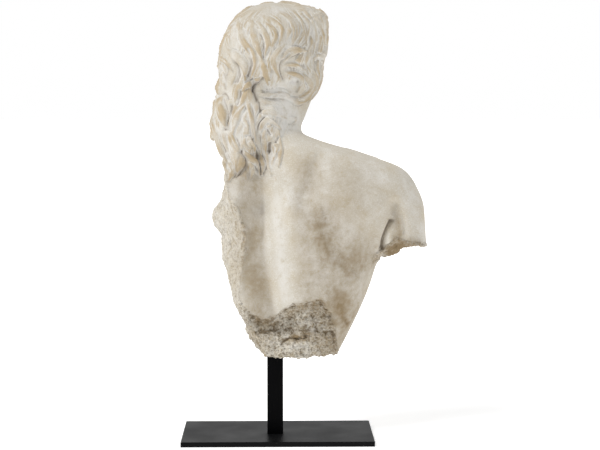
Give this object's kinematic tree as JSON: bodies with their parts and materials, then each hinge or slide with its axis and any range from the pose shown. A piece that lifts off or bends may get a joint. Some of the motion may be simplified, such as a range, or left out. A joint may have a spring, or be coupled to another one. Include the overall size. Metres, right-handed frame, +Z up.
{
  "type": "torso sculpture on a stand",
  "caption": "Broken cast stone figure seen from behind: back, right shoulder and turned head with long wavy hair, on a square steel post and plate.",
  "frame": {"origin": "centre of the base plate's underside", "axes": "+Z up along the post, +Y to the figure's front, +X to the figure's right, along the plate's long side"},
  "size_m": [0.3845, 0.226, 0.6887],
  "materials": {
    "stone": "warm grey-beige cast stone, matt, rough and speckled on its breaks",
    "black_steel": "satin black powder coat"
  },
  "bodies": {
    "root": {"stone_torso": "stone", "post": "black_steel", "base_plate": "black_steel"}
  },
  "joints": []
}
